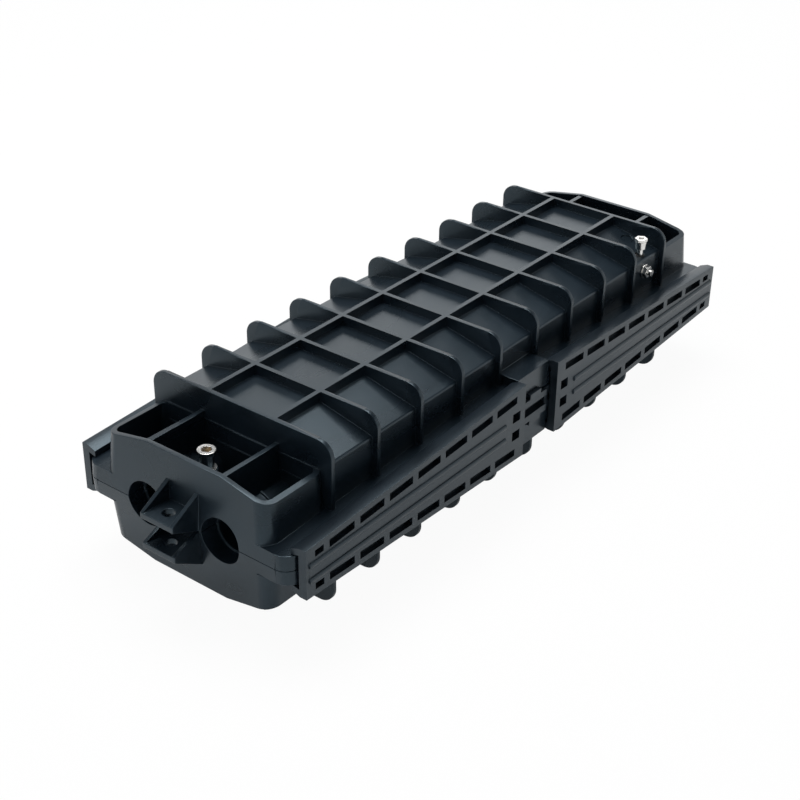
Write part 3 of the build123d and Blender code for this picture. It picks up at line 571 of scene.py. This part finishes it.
def metal_material(name, colour, roughness, grain_scale=900.0, stretch=(1.0, 1.0, 1.0)):
    """Bare or plated metal with fine variation in its gloss."""
    material, nodes, links = new_material(name)
    shader = nodes["Principled BSDF"]
    shader.inputs["Metallic"].default_value = 1.0
    place = nodes.new("ShaderNodeTexCoord")
    mapping = nodes.new("ShaderNodeMapping")
    mapping.inputs["Scale"].default_value = stretch
    grain = add_noise(nodes, scale=grain_scale, detail=3.0)
    tint = add_tint(nodes, colour, METAL_SHADES)
    gloss = add_gloss(nodes, roughness - METAL_SPREAD / 2, roughness + METAL_SPREAD / 2)
    links.new(place.outputs["Object"], mapping.inputs["Vector"])
    links.new(mapping.outputs["Vector"], grain.inputs["Vector"])
    links.new(grain.outputs["Fac"], tint.inputs["Fac"])
    links.new(grain.outputs["Fac"], gloss.inputs["Value"])
    links.new(tint.outputs["Color"], shader.inputs["Base Color"])
    links.new(gloss.outputs["Result"], shader.inputs["Roughness"])
    return material


def clear_material(name):
    """Clear plastic sheet, slightly smoky where it scatters light."""
    material, nodes, links = new_material(name)
    shader = nodes["Principled BSDF"]
    set_inputs(shader, CLEAR_SHEET)
    place = nodes.new("ShaderNodeTexCoord")
    haze = add_noise(nodes, scale=CLEAR_HAZE_SCALE)
    gloss = add_gloss(nodes, *CLEAR_ROUGHNESS)
    links.new(place.outputs["Object"], haze.inputs["Vector"])
    links.new(haze.outputs["Fac"], gloss.inputs["Value"])
    links.new(gloss.outputs["Result"], shader.inputs["Roughness"])
    return material


def seen_as_backdrop(nodes, links, mirrored):
    """How much a backdrop glows: nearly all for camera rays, a share for mirror and glass rays."""
    path = nodes.new("ShaderNodeLightPath")
    direct, either, mirror, factor = [nodes.new("ShaderNodeMath") for _ in range(4)]
    direct.operation = mirror.operation = "MULTIPLY"
    either.operation = factor.operation = "MAXIMUM"
    direct.inputs[1].default_value = BACKDROP_GLOW
    mirror.inputs[1].default_value = mirrored
    links.new(path.outputs["Is Camera Ray"], direct.inputs[0])
    links.new(path.outputs["Is Glossy Ray"], either.inputs[0])
    links.new(path.outputs["Is Transmission Ray"], either.inputs[1])
    links.new(either.outputs["Value"], mirror.inputs[0])
    links.new(direct.outputs["Value"], factor.inputs[0])
    links.new(mirror.outputs["Value"], factor.inputs[1])
    return factor.outputs["Value"]


class CLOSURE_OT_studio(bpy.types.Operator):
    """Sets the camera at the photograph's viewpoint, the floor and the soft light"""

    bl_idname = "closure.studio"
    bl_label = "Studio"

    def execute(self, context):
        scene = context.scene
        studio = scene.closure_studio
        self.add_camera(scene, studio)
        self.add_floor_and_backdrop(studio)
        self.add_world(scene, studio)
        self.add_lamps()
        scene.view_settings.view_transform = "Standard"
        return {"FINISHED"}

    def add_camera(self, scene, studio):
        """Sets the camera at its place, turned by the three angles of the view."""
        turn, tilt, roll = studio.azimuth, studio.elevation, studio.roll
        back = Vector((math.sin(turn) * math.cos(tilt), -math.cos(turn) * math.cos(tilt),
                       math.sin(tilt)))
        level_right = Vector((math.cos(turn), math.sin(turn), 0.0))
        level_up = back.cross(level_right)
        right = math.cos(roll) * level_right + math.sin(roll) * level_up
        up = math.cos(roll) * level_up - math.sin(roll) * level_right
        facing = Matrix((right, up, back)).transposed()
        bpy.ops.object.camera_add(location=studio.camera_place, rotation=facing.to_euler())
        camera = bpy.context.object
        camera.name = "photo_view"
        camera.data.sensor_width = SENSOR_WIDTH
        camera.data.lens = studio.focal_length
        camera.data.clip_start = NEAREST_SEEN
        scene.camera = camera

    def add_floor_and_backdrop(self, studio):
        """Makes the round floor and the white wall round it."""
        bpy.ops.mesh.primitive_circle_add(
            vertices=ROUND_SIDES, radius=FLOOR_RADIUS, fill_type="NGON", location=(0, 0, 0))
        floor = bpy.context.object
        floor.name = "studio_floor"
        floor.data.materials.append(self.studio_white("studio_floor_white", FLOOR_MIRRORED))
        bpy.ops.mesh.primitive_cylinder_add(
            vertices=ROUND_SIDES, radius=BACKDROP_RADIUS, depth=studio.backdrop_height,
            end_fill_type="NOTHING", location=(0, 0, studio.backdrop_height / 2))
        backdrop = bpy.context.object
        backdrop.name = "studio_backdrop"
        backdrop.data.materials.append(self.studio_white("studio_wall_white", BACKDROP_GLOW))

    def studio_white(self, name, mirrored):
        """Matt white that glows for the camera and, by a share, in mirrors."""
        material, nodes, links = new_material(name)
        shader = nodes["Principled BSDF"]
        set_inputs(shader, STUDIO_WHITE)
        glow = nodes.new("ShaderNodeEmission")
        glow.inputs["Strength"].default_value = 1.0
        mix = nodes.new("ShaderNodeMixShader")
        links.new(seen_as_backdrop(nodes, links, mirrored), mix.inputs["Fac"])
        links.new(shader.outputs["BSDF"], mix.inputs[1])
        links.new(glow.outputs["Emission"], mix.inputs[2])
        links.new(mix.outputs["Shader"], nodes["Material Output"].inputs["Surface"])
        return material

    def add_world(self, scene, studio):
        """Lights the room evenly from all sides."""
        world = scene.world or bpy.data.worlds.new("studio_room")
        scene.world = world
        world.use_nodes = True
        nodes, links = world.node_tree.nodes, world.node_tree.links
        nodes.clear()
        room = nodes.new("ShaderNodeBackground")
        set_inputs(room, {"Color": ROOM_COLOUR, "Strength": studio.room_light})
        output = nodes.new("ShaderNodeOutputWorld")
        links.new(room.outputs["Background"], output.inputs["Surface"])

    def add_lamps(self):
        """Hangs the soft boxes, each turned to the closure."""
        for name, place, width, height, power in LAMPS:
            bpy.ops.object.light_add(type="AREA", location=place)
            lamp = bpy.context.object
            lamp.name = name
            lamp.data.shape = "RECTANGLE"
            lamp.data.size = width
            lamp.data.size_y = height
            lamp.data.energy = power
            outward = Vector(place) - Vector(LAMP_AIM)
            lamp.rotation_euler = outward.to_track_quat("Z", "Y").to_euler()


class CLOSURE_OT_shells(bpy.types.Operator):
    """Rounds the edges of both ribbed shells and gives them satin black plastic"""

    bl_idname = "closure.shells"
    bl_label = "Shells"

    def execute(self, context):
        look = context.scene.closure_mouldings
        plastic = grained_material(
            "shell_satin_black", look.shell_colour, look.roughness, look.grain,
            sheen=look.sheen_colour)
        for node in SHELLS:
            piece = rounded_copy(node, look.edge_radius, trim_shell)
            dress(piece, body_of(node), plastic)
            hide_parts(node)
        return {"FINISHED"}


class CLOSURE_OT_rails(bpy.types.Operator):
    """Rounds the edges of the wedge rails and lock clips"""

    bl_idname = "closure.rails"
    bl_label = "Rails"

    def execute(self, context):
        look = context.scene.closure_mouldings
        plastic = grained_material(
            "rail_satin_black", look.rail_colour, look.roughness + look.rail_dullness, look.grain,
            flow_scale=40.0, sheen=look.sheen_colour)
        for node in RAILS + CLIPS:
            trim = trim_rail if node in RAILS else None
            piece = rounded_copy(node, look.rail_edge_radius, trim)
            dress(piece, body_of(node), plastic)
            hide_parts(node)
        return {"FINISHED"}


class CLOSURE_OT_fittings(bpy.types.Operator):
    """Rounds and plates the closing bolts, the air valve and the earthing stud"""

    bl_idname = "closure.fittings"
    bl_label = "Fittings"

    def execute(self, context):
        metals = context.scene.closure_metals
        nickel = metal_material("plated_nickel", metals.nickel, 0.2)
        brass = metal_material("turned_brass", metals.brass, 0.3)
        rounded = (
            "closing_nut_near", "closing_nut_far", "closing_washer_near", "closing_washer_far",
            "valve_cap", "valve_stem", "earth_nuts", "earth_washers",
        )
        for node in rounded:
            trim = trim_valve if node.startswith("valve") else None
            piece = rounded_copy(node, FITTING_EDGE_RADIUS * MM, trim)
            dress(piece, body_of(node), nickel)
            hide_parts(node)
        for node in ("closing_bolt_near", "closing_bolt_far"):
            paint(node, brass)
        paint("earth_stud", nickel)
        return {"FINISHED"}


class CLOSURE_OT_inside(bpy.types.Operator):
    """Finishes the pieces inside the closure: bracket, clamps, trays, cover, strap and seals"""

    bl_idname = "closure.inside"
    bl_label = "Inside"

    def execute(self, context):
        metals = context.scene.closure_metals
        steel = metal_material(
            "brushed_sheet", metals.steel, 0.34, grain_scale=300.0, stretch=(0.08, 1.0, 1.0))
        tray = grained_material("tray_moulding", metals.tray, 0.45, 0.02 * MM, flow_scale=18.0)
        rubber = grained_material("seal_rubber_look", metals.rubber, 0.62, 0.05 * MM)
        strap = grained_material("woven_strap", metals.strap, 0.8, 0.2 * MM, grain_scale=1200.0)
        finishes = {"sheet_steel": steel, "tray_plastic": tray, "seal_rubber": rubber}
        for node in frame["nodes"]:
            slot = slot_of(node)
            if slot in finishes:
                paint(node, finishes[slot])
        paint("tray_strap", strap)
        paint("tray_cover", clear_material("clear_cover"))
        return {"FINISHED"}


class CLOSURE_PT_panel(bpy.types.Panel):
    """Lists the steps that dress the closure"""

    bl_label = "Splice Closure"
    bl_idname = "CLOSURE_PT_panel"
    bl_space_type = "VIEW_3D"
    bl_region_type = "UI"
    bl_category = "Closure"

    def draw(self, context):
        scene = context.scene
        for step in STEPS:
            self.layout.operator(step.bl_idname)
        for group in (scene.closure_mouldings, scene.closure_metals, scene.closure_studio):
            for name in group.__annotations__:
                self.layout.prop(group, name)


STEPS = (
    CLOSURE_OT_studio,
    CLOSURE_OT_shells,
    CLOSURE_OT_rails,
    CLOSURE_OT_fittings,
    CLOSURE_OT_inside,
)
CLASSES = (ClosureMouldings, ClosureMetals, ClosureStudio, *STEPS, CLOSURE_PT_panel)


def register():
    """Adds the settings, the steps and the panel."""
    for cls in CLASSES:
        bpy.utils.register_class(cls)
    bpy.types.Scene.closure_mouldings = bpy.props.PointerProperty(type=ClosureMouldings)
    bpy.types.Scene.closure_metals = bpy.props.PointerProperty(type=ClosureMetals)
    bpy.types.Scene.closure_studio = bpy.props.PointerProperty(type=ClosureStudio)


def unregister():
    """Takes them all out again."""
    del bpy.types.Scene.closure_studio
    del bpy.types.Scene.closure_metals
    del bpy.types.Scene.closure_mouldings
    for cls in reversed(CLASSES):
        bpy.utils.unregister_class(cls)


def main():
    """Runs every step."""
    register()
    bpy.ops.closure.studio()
    bpy.ops.closure.shells()
    bpy.ops.closure.rails()
    bpy.ops.closure.fittings()
    bpy.ops.closure.inside()


if __name__ == "__main__":
    main()
